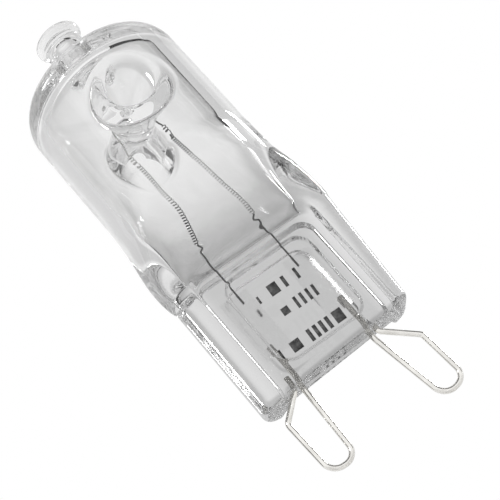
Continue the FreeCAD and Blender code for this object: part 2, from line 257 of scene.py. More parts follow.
def soft_positive(value, width):
    """The value where it is above 0 and about 0 below, rounded by a width."""
    return 0.5 * (value + math.sqrt(value * value + width * width))


def end_inset(level, radius):
    """How far a rounded end is drawn in at a level above its lowest point."""
    rest = max(0.0, radius - level)
    return radius - math.sqrt(max(0.0, radius * radius - rest * rest))


class Shell:
    """Points and faces of one closed skin, built ring by ring."""

    def __init__(self):
        self.points = []
        self.faces = []

    def ring(self, points):
        """Add points and give their numbers."""
        first = len(self.points)
        self.points.extend(points)
        return list(range(first, len(self.points)))

    def point(self, place):
        """Add one point and give its number."""
        return self.ring([place])[0]

    def bridge(self, low, high, skip=()):
        """Faces between two rings, but for some columns."""
        count = len(low)
        for index in range(count):
            if index in skip:
                continue
            after = (index + 1) % count
            self.faces.append((low[index], low[after], high[after], high[index]))

    def fan(self, ring, apex):
        """Faces between a ring and one point."""
        for index, here in enumerate(ring):
            self.faces.append((here, ring[(index + 1) % len(ring)], apex))

    def strip(self, ring):
        """Close the lower end between the front and the back of a ring."""
        count = len(ring)
        for index in range(count // 2):
            face = [ring[-index % count], ring[-index - 1], ring[index + 1], ring[index]]
            self.faces.append(tuple(dict.fromkeys(face)))

    def flipped(self):
        """The same skin, facing the other way."""
        self.faces = [tuple(reversed(face)) for face in self.faces]
        return self


def make_piece(name, shells, material, slot, *nodes):
    """Mesh piece from skins in millimetres, which stands for CAD nodes."""
    points = []
    faces = []
    for shell in shells:
        start = len(points)
        points.extend(shell.points)
        faces.extend(tuple(start + index for index in face) for face in shell.faces)
    used = sorted({index for face in faces for index in face})
    place = {old: new for new, old in enumerate(used)}
    mesh = bpy.data.meshes.new(name)
    mesh.from_pydata([[c * MM for c in points[index]] for index in used], [],
                     [tuple(place[index] for index in face) for face in faces])
    mesh.polygons.foreach_set("use_smooth", [True] * len(mesh.polygons))
    mesh.validate()
    piece = bpy.data.objects.new(name, mesh)
    scene.collection.objects.link(piece)
    mesh.materials.append(material)
    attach(piece, "root")
    if nodes:
        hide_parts(*nodes)


def quarter_shares():
    """Places along a quarter of a section, closer together at the panel's and the pad's edges."""
    steps = 400
    total = [0.0]
    for index in range(steps):
        share = (index + 0.5) / steps
        density = 1.0
        for middle, gain, spread in DENSE_PLACES:
            density += gain * math.exp(-((share - middle) / spread) ** 2)
        total.append(total[-1] + density)
    shares = []
    index = 0
    for count in range(QUARTER + 1):
        wanted = total[-1] * count / QUARTER
        while index < steps - 1 and total[index + 1] < wanted:
            index += 1
        part = (wanted - total[index]) / (total[index + 1] - total[index])
        shares.append(min(1.0, (index + part) / steps))
    return shares


QUARTER_SHARES = quarter_shares()


def section(half_x, half_y, roundness):
    """Closed outline, from an ellipse at roundness 2 to a rounded bar at 4 and more."""
    steps = 160
    dense = []
    for index in range(steps + 1):
        angle = 0.5 * math.pi * index / steps
        cosine = max(0.0, math.cos(angle))
        sine = math.sin(angle)
        reach = (cosine ** roundness + sine ** roundness) ** (-1.0 / roundness)
        dense.append((half_x * cosine * reach, half_y * sine * reach))
    length = [0.0]
    for a, b in zip(dense, dense[1:]):
        length.append(length[-1] + math.hypot(b[0] - a[0], b[1] - a[1]))
    quarter = []
    index = 0
    for share in QUARTER_SHARES:
        wanted = share * length[-1]
        while index < steps - 1 and length[index + 1] < wanted:
            index += 1
        part = (wanted - length[index]) / (length[index + 1] - length[index])
        quarter.append((blend(dense[index][0], dense[index + 1][0], part),
                        blend(dense[index][1], dense[index + 1][1], part)))
    outline = []
    for quadrant, (sign_x, sign_y) in enumerate([(1, 1), (-1, 1), (-1, -1), (1, -1)]):
        for index in range(QUARTER):
            x, y = quarter[index if quadrant % 2 == 0 else QUARTER - index]
            outline.append((sign_x * x, sign_y * y))
    return outline


def wall_share(x, z):
    """How far up the panel's sloping wall a point lies, 0 at its floor."""
    low, high = -0.6, 2.5
    for _ in range(24):
        share = (low + high) / 2.0
        across = abs(x) - (PANEL_HALF_WIDTH + 2.0 * PANEL_DRAFT * share) + PANEL_CORNER
        along = z - (PANEL_HEIGHT + PANEL_TOP_RISE * share) + PANEL_CORNER
        outside = math.hypot(max(0.0, across), max(0.0, along)) - PANEL_CORNER
        if outside > 0.0:
            low = share
        else:
            high = share
    return share


def pad_drop(x, z):
    """Depth of the shallow pad in the panel's floor."""
    middle = (PAD_LOW + PAD_HIGH) / 2.0
    across = abs(x) - PAD_HALF_WIDTH + PAD_CORNER
    along = abs(z - middle) - (PAD_HIGH - PAD_LOW) / 2.0 + PAD_CORNER
    inside = PAD_CORNER - math.hypot(max(0.0, across), max(0.0, along))
    return PAD_DEPTH * smooth(0.5 + inside / PAD_EDGE)


def carved(x, y, z, level):
    """Half thickness of the foot once its panel is pressed in."""
    depth = FOOT_THICKNESS - WEB_THICKNESS
    floor = WEB_THICKNESS / 2.0 - pad_drop(x, z) - end_inset(level, WEB_END_RADIUS)
    wall = floor + depth * soft_positive(wall_share(x, z), PANEL_FLOOR_ROUND)
    return max(0.0, soft_min(abs(y), wall, PANEL_EDGE_ROUND))


def rib_outline(level, radius):
    """Foot's outline at a level above its end, where a radius draws it in."""
    share = level / PANEL_HEIGHT
    inset = end_inset(level, radius)
    return section(blend(FOOT_WIDTH_LOW, FOOT_WIDTH_HIGH, share) / 2.0 - inset,
                   FOOT_THICKNESS / 2.0 - inset, FOOT_ROUNDNESS)


def foot_ring(level):
    """Outside of the foot and shoulder at a level above the foot's end."""
    if level <= PANEL_HEIGHT:
        offset = blend(FOOT_OFFSET_LOW, FOOT_OFFSET_HIGH, level / PANEL_HEIGHT)
        tail = [smooth((TAIL_RAMP_END - offset - x) / (TAIL_RAMP_END - TAIL_RAMP_START))
                for x, _ in rib_outline(level, FOOT_END_RADIUS)]
        outline = [(blend(ax, bx, part), blend(ay, by, part)) for (ax, ay), (bx, by), part in zip(
            rib_outline(level, FOOT_END_RADIUS), rib_outline(level, TAIL_END_RADIUS), tail)]
    else:
        share = (level - PANEL_HEIGHT) / (SHOULDER_TOP - PANEL_HEIGHT)
        ease = smooth(share)
        offset = FOOT_OFFSET_HIGH * (1.0 - share) ** SHOULDER_STRAIGHTENING
        half_x = blend(FOOT_WIDTH_HIGH / 2.0, TUBE_RADIUS, ease)
        half_x += SHOULDER_BULGE * math.sin(math.pi * math.sqrt(share))
        outline = section(half_x, blend(FOOT_THICKNESS / 2.0, TUBE_RADIUS, ease),
                          blend(FOOT_ROUNDNESS, 2.0, smooth(SHOULDER_ROUNDING_RATE * share)))
        tail = [0.0] * len(outline)
    slant = FOOT_END_SLANT * max(0.0, 1.0 - level / PANEL_HEIGHT)
    fade = 1.0 - smooth(level / TAIL_FADE)
    ring = []
    for (x, y), part in zip(outline, tail):
        z = level + x * slant - fade * part * (TAIL_DROP + x * FOOT_END_SLANT)
        x += offset
        if z < PANEL_HEIGHT + 2.0 and abs(x) < PANEL_HALF_WIDTH + 4.0 * PANEL_DRAFT:
            y = math.copysign(carved(x, y, z, level), y)
        ring.append((x, y, z))
    return ring


def cavity_ring(level):
    """Inside of the shoulder at a height."""
    radius = TUBE_RADIUS - TUBE_WALL
    share = (level - CAVITY_FLOOR) / (SHOULDER_TOP - CAVITY_FLOOR)
    ease = smooth(share)
    inset = end_inset(level - CAVITY_FLOOR, CAVITY_FLOOR_ROUND)
    half_x = blend(CAVITY_FLOOR_WIDTH / 2.0, radius, ease) - inset
    half_y = blend(CAVITY_FLOOR_THICKNESS / 2.0, radius, ease) - inset
    roundness = 2.0 + (1.0 - ease) * CAVITY_FLOOR_SQUARING
    return [(x, y, level) for x, y in section(half_x, half_y, roundness)]


def round_ring(radius, height):
    """Circle round the lamp's axis, with a section's spacing."""
    return [(x, y, height) for x, y in section(radius, radius, 2.0)]


def spaced(low, high, step):
    """Levels from low to high, both included."""
    count = max(1, round((high - low) / step))
    return [blend(low, high, index / count) for index in range(count + 1)]


def arc(centre, radius, start, end, count):
    """Radii and heights along an arc, its start left out."""
    places = []
    for index in range(1, count + 1):
        angle = blend(start, end, index / count)
        places.append((centre[0] + radius * math.cos(angle), centre[1] + radius * math.sin(angle)))
    return places


def dome(radius, crown, sphere_radius, knuckle):
    """Knuckle centre, crown centre height, and the direction where the two arcs meet."""
    crown_centre = crown - sphere_radius
    reach = sphere_radius - knuckle
    offset = radius - knuckle
    rise = math.sqrt(reach * reach - offset * offset)
    return (offset, crown_centre + rise), crown_centre, math.atan2(rise, offset)


def outer_profile():
    """Radii and heights of the dome and the tip, from the knuckle to the tip's top."""
    knuckle, crown_centre, meet = dome(TUBE_RADIUS, CROWN_HEIGHT, CROWN_RADIUS, KNUCKLE_RADIUS)
    places = [(TUBE_RADIUS, knuckle[1])]
    places += arc(knuckle, KNUCKLE_RADIUS, 0.0, meet, 16)
    root_x = TIP_NECK_RADIUS + TIP_ROOT_RADIUS
    root_z = crown_centre + math.sqrt((CROWN_RADIUS + TIP_ROOT_RADIUS) ** 2 - root_x ** 2)
    root_turn = math.atan2(root_z - crown_centre, root_x)
    places += arc((0.0, crown_centre), CROWN_RADIUS, meet, root_turn, 14)
    places += arc((root_x, root_z), TIP_ROOT_RADIUS, root_turn + math.pi, math.pi, 8)
    top = CROWN_HEIGHT + TIP_LENGTH
    edge = (TIP_CAP_RADIUS - TIP_EDGE_RADIUS, top - TIP_EDGE_RADIUS)
    drop = math.acos((TIP_NECK_RADIUS - edge[0]) / TIP_EDGE_RADIUS)
    cap_low = edge[1] - math.sin(drop) * TIP_EDGE_RADIUS
    places += [(TIP_NECK_RADIUS, z) for z in spaced(root_z, cap_low, TIP_STEP)[1:]]
    places += arc(edge, TIP_EDGE_RADIUS, -drop, math.pi / 2.0, 14)
    places += [(edge[0] * share, top) for share in (0.75, 0.5, 0.25)]
    return places, (0.0, 0.0, top)


def inner_profile():
    """Radii and heights of the space in the dome and the tip."""
    radius = TUBE_RADIUS - TUBE_WALL
    knuckle, crown_centre, meet = dome(radius, CROWN_HEIGHT - CROWN_WALL, INNER_CROWN_RADIUS,
                                       INNER_KNUCKLE_RADIUS)
    start = math.asin((HOLE_HIGH - knuckle[1]) / INNER_KNUCKLE_RADIUS)
    places = arc(knuckle, INNER_KNUCKLE_RADIUS, start, meet, 12)
    mouth = TIP_BORE_RADIUS + TIP_BORE_FLARE
    mouth_turn = math.acos(mouth / INNER_CROWN_RADIUS)
    places += arc((0.0, crown_centre), INNER_CROWN_RADIUS, meet, mouth_turn, 14)
    flare = (mouth, places[-1][1] + TIP_BORE_FLARE)
    places += arc(flare, TIP_BORE_FLARE, 1.5 * math.pi, math.pi, 6)
    top = CROWN_HEIGHT + TIP_LENGTH - TIP_END_WALL
    places += [(TIP_BORE_RADIUS, z)
               for z in spaced(flare[1], top - TIP_BORE_RADIUS, TIP_STEP)[1:]]
    places += arc((0.0, top - TIP_BORE_RADIUS), TIP_BORE_RADIUS, 0.0, 0.45 * math.pi, 9)
    return places, (0.0, 0.0, top)


def under_dome(point):
    """Place on the inside of the tube's wall, drawn in where the inner dome has begun."""
    x, y, z = point
    radius = TUBE_RADIUS - TUBE_WALL
    knuckle, _, _ = dome(radius, CROWN_HEIGHT - CROWN_WALL, INNER_CROWN_RADIUS,
                         INNER_KNUCKLE_RADIUS)
    rise = min(max(0.0, z - knuckle[1]), INNER_KNUCKLE_RADIUS)
    share = (knuckle[0] + math.sqrt(INNER_KNUCKLE_RADIUS ** 2 - rise ** 2)) / radius
    return (x * share, y * share, z)


def mouth_blend(radius, tube_radius, cosine, cone_x, cone_y, angle):
    """Rounding between a cone round the Y axis and the tube's wall, in one plane through the
    cone's axis: distances from that axis and from the tube's, from the wall to the cone."""
    def wall(rho):
        return math.sqrt(tube_radius ** 2 - (rho * cosine) ** 2)

    rho = cone_x
    for _ in range(12):
        rho = cone_x + (wall(rho) - cone_y) * math.tan(angle)
    slope = -rho * cosine * cosine / wall(rho)
    turn = math.pi / 2.0 - angle - math.atan(slope)
    reach = radius * math.tan(turn / 2.0)
    outer = rho + reach * math.cos(math.atan(slope))
    outer_slope = math.atan(-outer * cosine * cosine / wall(outer))
    handle = 4.0 / 3.0 * math.tan(turn / 4.0) * radius
    a = Vector((outer, wall(outer)))
    d = Vector((rho, wall(rho))) - reach * Vector((math.sin(angle), math.cos(angle)))
    b = a - handle * Vector((math.cos(outer_slope), math.sin(outer_slope)))
    c = d + handle * Vector((math.sin(angle), math.cos(angle)))
    places = []
    for index in range(11):
        t = index / 10.0
        places.append((1 - t) ** 3 * a + 3 * t * (1 - t) ** 2 * b + 3 * t * t * (1 - t) * c
                      + t ** 3 * d)
    return places


def wall_run(tube_radius, cosine, start, end, count):
    """Places along the tube's wall between two distances from the cone's axis, ends left out."""
    places = []
    for index in range(1, count + 1):
        rho = blend(start, end, index / (count + 1))
        places.append(Vector((rho, math.sqrt(tube_radius ** 2 - (rho * cosine) ** 2))))
    return places


def dent_profile(rho_rim, cosine):
    """Outside of the glass from the rim of the hole to the dent's round bottom."""
    centre_y = DENT_FLOOR_GAP / 2.0 + DENT_TIP_RADIUS
    cone_x = DENT_TIP_RADIUS * math.cos(DENT_HALF_ANGLE)
    cone_y = centre_y - DENT_TIP_RADIUS * math.sin(DENT_HALF_ANGLE)
    mouth = mouth_blend(DENT_MOUTH_RADIUS, TUBE_RADIUS, cosine, cone_x, cone_y, DENT_HALF_ANGLE)
    places = wall_run(TUBE_RADIUS, cosine, rho_rim, mouth[0].x, 5) + mouth
    cone = Vector((cone_x, cone_y))
    places += [mouth[-1].lerp(cone, index / 8.0) for index in range(1, 9)]
    for index in range(1, 7):
        angle = blend(-DENT_HALF_ANGLE, -math.pi / 2.0, index / 7.0)
        places.append(Vector((DENT_TIP_RADIUS * math.cos(angle),
                              centre_y + DENT_TIP_RADIUS * math.sin(angle))))
    return places


def pillar_profile(rho_rim, cosine):
    """Inside of the glass from the rim of the hole to the pillar's waist."""
    radius = TUBE_RADIUS - TUBE_WALL
    cone_x = PILLAR_WAIST + PILLAR_WAIST_ROUND * (1.0 - math.cos(DENT_HALF_ANGLE))
    cone_y = PILLAR_WAIST_ROUND * math.sin(DENT_HALF_ANGLE)
    mouth = mouth_blend(PILLAR_MOUTH_RADIUS, radius, cosine, cone_x, cone_y, DENT_HALF_ANGLE)
    places = wall_run(radius, cosine, rho_rim, mouth[0].x, 4) + mouth
    cone = Vector((cone_x, cone_y))
    places += [mouth[-1].lerp(cone, index / 6.0) for index in range(1, 7)]
    for index in range(1, 4):
        angle = blend(DENT_HALF_ANGLE, 0.0, index / 3.0)
        places.append(Vector((PILLAR_WAIST + PILLAR_WAIST_ROUND * (1.0 - math.cos(angle)),
                              PILLAR_WAIST_ROUND * math.sin(angle))))
    return places


class Hole:
    """Rectangular hole in a ring grid, in the middle of the tube's front or back."""

    def __init__(self, rings, low, high, angle):
        self.rings = rings
        reach = next(index for index in range(QUARTER)
                     if QUARTER_SHARES[index] * math.pi / 2.0 > math.pi / 2.0 - angle)
        first = reach
        last = 2 * QUARTER - reach
        bottom = [(column, low) for column in range(first, last)]
        right = [(last, row) for row in range(low, high)]
        top = [(column, high) for column in range(last, first, -1)]
        left = [(first, row) for row in range(high, low, -1)]
        self.rim = bottom + right + top + left
        self.columns = list(range(first, last))

    def skip(self):
        """Columns of faces that both holes leave out."""
        return self.columns + [column + 2 * QUARTER for column in self.columns]

    def vertices(self, side):
        """Rim of the back hole, or the same places on the front one."""
        count = 4 * QUARTER
        if side > 0:
            return [self.rings[row][column] for column, row in self.rim]
        return [self.rings[row][(count - column) % count] for column, row in self.rim]

    def directions(self, shell):
        """Distance from the pillar's axis, and its cosine and sine, for each rim place."""
        found = []
        for index in self.vertices(1):
            x, _, z = shell.points[index]
            rho = math.hypot(x, z - PILLAR_HEIGHT)
            found.append((rho, x / rho, (z - PILLAR_HEIGHT) / rho))
        return found


def on_plane(place, direction, side):
    """Point of a profile in its plane through the pillar's axis."""
    _, cosine, sine = direction
    return (place.x * cosine, side * place.y, PILLAR_HEIGHT + place.x * sine)


def skin(levels, ring_at, profile, apex, tube_radius, hole_angle, fitted):
    """Rings from the lower end to the tip, with the two holes left open."""
    shell = Shell()
    places = [ring_at(level) for level in levels]
    rows = [blend(HOLE_LOW, HOLE_HIGH, index / HOLE_ROWS) for index in range(HOLE_ROWS + 1)]
    places += [round_ring(tube_radius, z) for z in spaced(SHOULDER_TOP, HOLE_LOW, TUBE_STEP)[:-1]]
    low = len(places)
    places += [[fitted(point) for point in round_ring(tube_radius, z)] for z in rows]
    high = len(places) - 1
    places += [round_ring(radius, z) for radius, z in profile]
    rings = [shell.ring(points) for points in places]
    hole = Hole(rings, low, high, hole_angle)
    shell.strip(rings[0])
    for row, (ring, above) in enumerate(zip(rings, rings[1:])):
        shell.bridge(ring, above, hole.skip() if low <= row < high else ())
    shell.fan(rings[-1], shell.point(apex))
    return shell, hole


def outer_skin():
    """Outside of the glass: foot, shoulder, tube, dome, tip and the two dents."""
    levels = [WEB_END_RADIUS * (1.0 - math.cos(index * math.pi / 28.0)) for index in range(14)]
    low = WEB_END_RADIUS
    for high, step in FOOT_BANDS:
        levels += spaced(low, high, step)[:-1]
        low = high
    levels += spaced(low, SHOULDER_TOP, SHOULDER_STEP)[:-1]
    profile, apex = outer_profile()
    shell, hole = skin(levels, foot_ring, profile, apex, TUBE_RADIUS, OUTER_HOLE_ANGLE, tuple)
    directions = hole.directions(shell)
    profiles = [dent_profile(rho, cosine) for rho, cosine, _ in directions]
    for side in (1, -1):
        ring = hole.vertices(side)
        if side < 0:
            ring = list(reversed(ring))
        for step in range(len(profiles[0])):
            points = [on_plane(places[step], direction, side)
                      for places, direction in zip(profiles, directions)]
            if side < 0:
                points.reverse()
            inner = shell.ring(points)
            shell.bridge(ring, inner)
            ring = inner
        shell.fan(ring, shell.point((0.0, side * DENT_FLOOR_GAP / 2.0, PILLAR_HEIGHT)))
    return shell


def inner_skin():
    """Inside of the glass, with the pillar running through it."""
    levels = spaced(CAVITY_FLOOR, CAVITY_FLOOR + CAVITY_FLOOR_ROUND, FLOOR_STEP)
    levels += spaced(levels[-1], SHOULDER_TOP, SHOULDER_STEP)[1:-1]
    profile, apex = inner_profile()
    shell, hole = skin(levels, cavity_ring, profile, apex, TUBE_RADIUS - TUBE_WALL,
                       INNER_HOLE_ANGLE, under_dome)
    directions = hole.directions(shell)
    halves = [pillar_profile(rho, cosine) for rho, cosine, _ in directions]
    steps = len(halves[0])
    ring = hole.vertices(1)
    for side, order in ((1, range(steps)), (-1, range(steps - 2, -1, -1))):
        for step in order:
            inner = shell.ring([under_dome(on_plane(places[step], direction, side))
                                for places, direction in zip(halves, directions)])
            shell.bridge(ring, inner)
            ring = inner
    shell.bridge(ring, hole.vertices(-1))
    return shell.flipped()


def rounded_path(points, radii):
    """Points along straight runs joined by tangent arcs, one radius for each inner point."""
    places = [points[0]]
    for index, radius in enumerate(radii, start=1):
        corner = points[index]
        back = (points[index - 1] - corner).normalized()
        ahead = (points[index + 1] - corner).normalized()
        half_angle = back.angle(ahead) / 2.0
        bisector = (back + ahead).normalized()
        centre = corner + bisector * (radius / math.sin(half_angle))
        enter = corner + back * (radius / math.tan(half_angle)) - centre
        leave = corner + ahead * (radius / math.tan(half_angle)) - centre
        turn = enter.angle(leave)
        count = max(2, math.ceil(turn / ARC_STEP))
        for step in range(count + 1):
            share = step / count
            place = enter * math.sin((1 - share) * turn) + leave * math.sin(share * turn)
            places.append(centre + place / math.sin(turn))
    places.append(points[-1])
    kept = [places[0]]
    for place in places[1:]:
        if (place - kept[-1]).length > SAME_POINT:
            kept.append(place)
    return kept


def wire_skin(path, diameter, sides):
    """Closed skin of a round wire along a path."""
    shell = Shell()
    tangents = []
    for index in range(len(path)):
        before = path[max(0, index - 1)]
        after = path[min(len(path) - 1, index + 1)]
        tangents.append((after - before).normalized())
    normal = tangents[0].orthogonal().normalized()
    rings = []
    for place, tangent in zip(path, tangents):
        normal = (normal - tangent * normal.dot(tangent)).normalized()
        side = tangent.cross(normal)
        ring = []
        for index in range(sides):
            angle = 2.0 * math.pi * index / sides
            ring.append(place + (normal * math.cos(angle) + side * math.sin(angle)) * diameter / 2.0)
        rings.append(shell.ring([tuple(point) for point in ring]))
    for ring, after in zip(rings, rings[1:]):
        shell.bridge(ring, after)
    shell.fan(rings[-1], shell.point(tuple(path[-1])))
    shell.fan(list(reversed(rings[0])), shell.point(tuple(path[0])))
    return shell


def leg_x(side):
    """Place in X of the leg of a loop pin that runs up to its foil."""
    return PIN_OFFSET + side * (PIN_SPACING / 2.0 - PIN_LOOP_WIDTH / 2.0)


def loop_pin_path(side):
    """Wire from its foil down through the foot, round the open loop and back into the glass."""
    angle = PIN_SPLAY[side]
    exit_point = Vector((leg_x(side), 0, 0))
    return_x = leg_x(side) + side * PIN_RETURN_OFFSET

    def below(across, down):
        x = across * math.cos(angle) + down * math.sin(angle)
        z = across * math.sin(angle) - down * math.cos(angle)
        return exit_point + Vector((side * x, 0, z))

    bottom = PIN_LENGTH[side] - PIN_WIRE / 2.0
    points = [
        Vector((leg_x(side), 0, PIN_WELD_HEIGHT)),
        exit_point - Vector((0, 0, PIN_WIRE)),
        below(0, bottom),
        below(PIN_LOOP_END_WIDTH, bottom),
        below(PIN_LOOP_WIDTH, PIN_KINK_DROP[side]),
        Vector((return_x, 0, -PIN_RETURN_BEND)),
        Vector((return_x, 0, PIN_RETURN_DEPTH))]
    radii = [PIN_SPLAY_RADIUS, PIN_END_RADIUS, PIN_END_RADIUS, PIN_KINK_RADIUS, PIN_KINK_RADIUS]
    return rounded_path(points, radii)


def lead_path(side, coil_end):
    """Inner lead, from the face of its foil to the end of the coil."""
    x = leg_x(side) - side * LEAD_OFFSET
    y = (PIN_WIRE - LEAD_WIRE) / 2.0
    end_x, end_z = coil_end
    points = [
        Vector((x, y, FOIL_TOP - FOIL_WELD_LAP)),
        Vector((x, y, FOIL_TOP + FOIL_WELD_LAP)),
        Vector((x, 0, end_z - LEAD_JOG_DROP)),
        Vector((x - side * LEAD_JOG, 0, end_z - LEAD_JOG_DROP + LEAD_JOG_RISE)),
        Vector((end_x, 0, end_z))]
    return rounded_path(points, [PIN_KINK_RADIUS, LEAD_BEND_RADIUS, LEAD_BEND_RADIUS])


def coil_axis(points):
    """Middle line of one coiled leg."""
    path = [Vector((x, 0, z)) for x, z in points]
    radii = []
    for before, corner, after in zip(path, path[1:], path[2:]):
        turn = math.pi - (before - corner).angle(after - corner)
        shorter = min((before - corner).length, (after - corner).length)
        radii.append(COIL_BEND_SHARE * shorter / math.tan(turn / 2.0))
    return rounded_path(path, radii)


def coil_path(points):
    """Helix round the leg's middle line, with ends that run in to it."""
    axis = coil_axis(points)
    length = [0.0]
    for a, b in zip(axis, axis[1:]):
        length.append(length[-1] + (b - a).length)
    count = round(length[-1] / COIL_PITCH * COIL_STEPS)
    path = []
    run = 0
    for step in range(count + 1):
        along = length[-1] * step / count
        while run < len(axis) - 2 and length[run + 1] < along:
            run += 1
        share = (along - length[run]) / (length[run + 1] - length[run])
        centre = axis[run].lerp(axis[run + 1], share)
        tangent = (axis[run + 1] - axis[run]).normalized()
        across = tangent.cross(Vector((0, 1, 0)))
        reach = min(along, length[-1] - along)
        radius = (COIL_DIAMETER - COIL_WIRE) / 2.0 * smooth(reach / COIL_END_RUN)
        angle = 2.0 * math.pi * step / COIL_STEPS
        path.append(centre + (across * math.cos(angle) + Vector((0, math.sin(angle), 0))) * radius)
    return path


def saddle_path():
    """Plain wire from one coil over the pillar to the other."""
    radius = PILLAR_WAIST + SADDLE_WIRE / 2.0 + SADDLE_CLEARANCE
    points = [
        Vector((COIL_LEFT[0][0], 0, COIL_LEFT[0][1])),
        Vector((-radius, 0, PILLAR_HEIGHT - radius / 2.0)),
        Vector((-radius, 0, PILLAR_HEIGHT + radius)),
        Vector((radius, 0, PILLAR_HEIGHT + radius)),
        Vector((radius, 0, PILLAR_HEIGHT - radius / 2.0)),
        Vector((COIL_RIGHT[0][0], 0, COIL_RIGHT[0][1]))]
    return rounded_path(points, [radius / 2.0, radius, radius, radius / 2.0])


def slab(x, z, half_width, half_height):
    """Thin block of ink on the front of the press, leaning to one side in its plane."""
    shell = Shell()
    rings = []
    for y in (PAD_FACE - INK_BITE, PAD_FACE + INK_THICKNESS):
        corners = []
        for across, up in ((-1, -1), (1, -1), (1, 1), (-1, 1)):
            dx = across * half_width + up * half_height * INK_LEAN
            corners.append((x + dx, -y, z + up * half_height))
        rings.append(shell.ring(corners))
    shell.bridge(rings[0], rings[1])
    shell.faces += [tuple(reversed(rings[0])), tuple(rings[1])]
    return shell


def new_material(name, color, metallic, roughness):
    """Principled material with plain values, which nodes may then vary."""
    material = bpy.data.materials.new(name)
    material.use_nodes = True
    shader = material.node_tree.nodes["Principled BSDF"]
    shader.inputs["Base Color"].default_value = (*color, 1.0)
    shader.inputs["Metallic"].default_value = metallic
    shader.inputs["Roughness"].default_value = roughness
    return material, shader


def noise(material, scale, detail, stretch=(1.0, 1.0, 1.0)):
    """Noise in the object's own space, with a size of about 1/scale metres."""
    nodes = material.node_tree.nodes
    links = material.node_tree.links
    where = nodes.new("ShaderNodeTexCoord")
    mapping = nodes.new("ShaderNodeMapping")
    mapping.inputs["Scale"].default_value = stretch
    texture = nodes.new("ShaderNodeTexNoise")
    texture.inputs["Scale"].default_value = scale
    texture.inputs["Detail"].default_value = detail
    links.new(where.outputs["Object"], mapping.inputs["Vector"])
    links.new(mapping.outputs["Vector"], texture.inputs["Vector"])
    return texture.outputs["Fac"]


def ranged(material, source, low, high):
    """Noise brought to a range of values."""
    remap = material.node_tree.nodes.new("ShaderNodeMapRange")
    remap.inputs["From Min"].default_value = 0.3
    remap.inputs["From Max"].default_value = 0.7
    remap.inputs["To Min"].default_value = low
    remap.inputs["To Max"].default_value = high
    material.node_tree.links.new(source, remap.inputs["Value"])
    return remap.outputs["Result"]


def bumped(material, shader, source, strength, distance):
    """Fine relief on the surface, by a noise."""
    bump = material.node_tree.nodes.new("ShaderNodeBump")
    bump.inputs["Strength"].default_value = strength
    bump.inputs["Distance"].default_value = distance
    material.node_tree.links.new(source, bump.inputs["Height"])
    material.node_tree.links.new(bump.outputs["Normal"], shader.inputs["Normal"])


def coloured(material, shader, source, low, high, start=0.3, end=0.7):
    """Base colour from one tone to another, between two values of a source."""
    ramp = material.node_tree.nodes.new("ShaderNodeValToRGB")
    for element, tone, position in zip(ramp.color_ramp.elements, (low, high), (start, end)):
        element.position = position
        element.color = (*tone, 1.0)
    material.node_tree.links.new(source, ramp.inputs["Fac"])
    material.node_tree.links.new(ramp.outputs["Color"], shader.inputs["Base Color"])


def own_axes(material):
    """X, Y and Z of a point in the object's own space, in metres."""
    where = material.node_tree.nodes.new("ShaderNodeTexCoord")
    split = material.node_tree.nodes.new("ShaderNodeSeparateXYZ")
    material.node_tree.links.new(where.outputs["Object"], split.inputs["Vector"])
    return split.outputs


def stepped(material, source, start, end, top=1.0):
    """Smooth step from 0 to a top value between two lengths in millimetres."""
    remap = material.node_tree.nodes.new("ShaderNodeMapRange")
    remap.interpolation_type = "SMOOTHSTEP"
    remap.inputs["From Min"].default_value = start * MM
    remap.inputs["From Max"].default_value = end * MM
    remap.inputs["To Max"].default_value = top
    material.node_tree.links.new(source, remap.inputs["Value"])
    return remap.outputs["Result"]


def joined(owner, operation, first, second=None):
    """Result of a math node of a material or world on one or two sources."""
    step = owner.node_tree.nodes.new("ShaderNodeMath")
    step.operation = operation
    owner.node_tree.links.new(first, step.inputs[0])
    if second is not None:
        owner.node_tree.links.new(second, step.inputs[1])
    return step.outputs["Value"]


def painted_glass_shade(material):
    """Painted shade in the quartz's grey tint, deeper in the middle of the press than in its ribs
    and the tube.
    """
    axes = own_axes(material)
    above = stepped(material, axes["Z"], PAD_HIGH, SHOULDER_TOP - 1.0)
    aside = stepped(material, joined(material, "ABSOLUTE", axes["X"]), RIB_START, RIB_END, RIB_SHARE)
    remap = material.node_tree.nodes.new("ShaderNodeMapRange")
    remap.inputs["To Min"].default_value = PRESS_PAINTED_SHADE_TONE
    remap.inputs["To Max"].default_value = TUBE_PAINTED_SHADE_TONE
    lighter = joined(material, "MAXIMUM", above, aside)
    material.node_tree.links.new(lighter, remap.inputs["Value"])
    return remap.outputs["Result"]


def quartz_material():
    """Clear fused quartz with faint waves from its drawing and pressing, given a grey tint on its
    surface and in its volume as painted shade.
    """
    material, shader = new_material("quartz", (0.86, 0.862, 0.865), 0.0, 0.01)
    shader.inputs["IOR"].default_value = QUARTZ_IOR
    shader.inputs["Transmission Weight"].default_value = 1.0
    waves = noise(material, 260.0, 1.5, (1.0, 1.0, 0.4))
    links = material.node_tree.links
    links.new(ranged(material, waves, 0.0, 0.002), shader.inputs["Roughness"])
    bumped(material, shader, waves, 0.04, 0.00006)
    # Base colour: grey painted shade, deepest in the middle of the press
    tone = material.node_tree.nodes.new("ShaderNodeCombineColor")
    grey = painted_glass_shade(material)
    for channel in ("Red", "Green", "Blue"):
        links.new(grey, tone.inputs[channel])
    links.new(tone.outputs["Color"], shader.inputs["Base Color"])
    # Grey volume absorption: more painted shade through the glass's thickness
    absorption = material.node_tree.nodes.new("ShaderNodeVolumeAbsorption")
    absorption.inputs["Color"].default_value = (0.5, 0.5, 0.5, 1.0)
    absorption.inputs["Density"].default_value = QUARTZ_PAINTED_SHADE_PER_METRE
    output = material.node_tree.nodes["Material Output"]
    links.new(absorption.outputs["Volume"], output.inputs["Volume"])
    return material


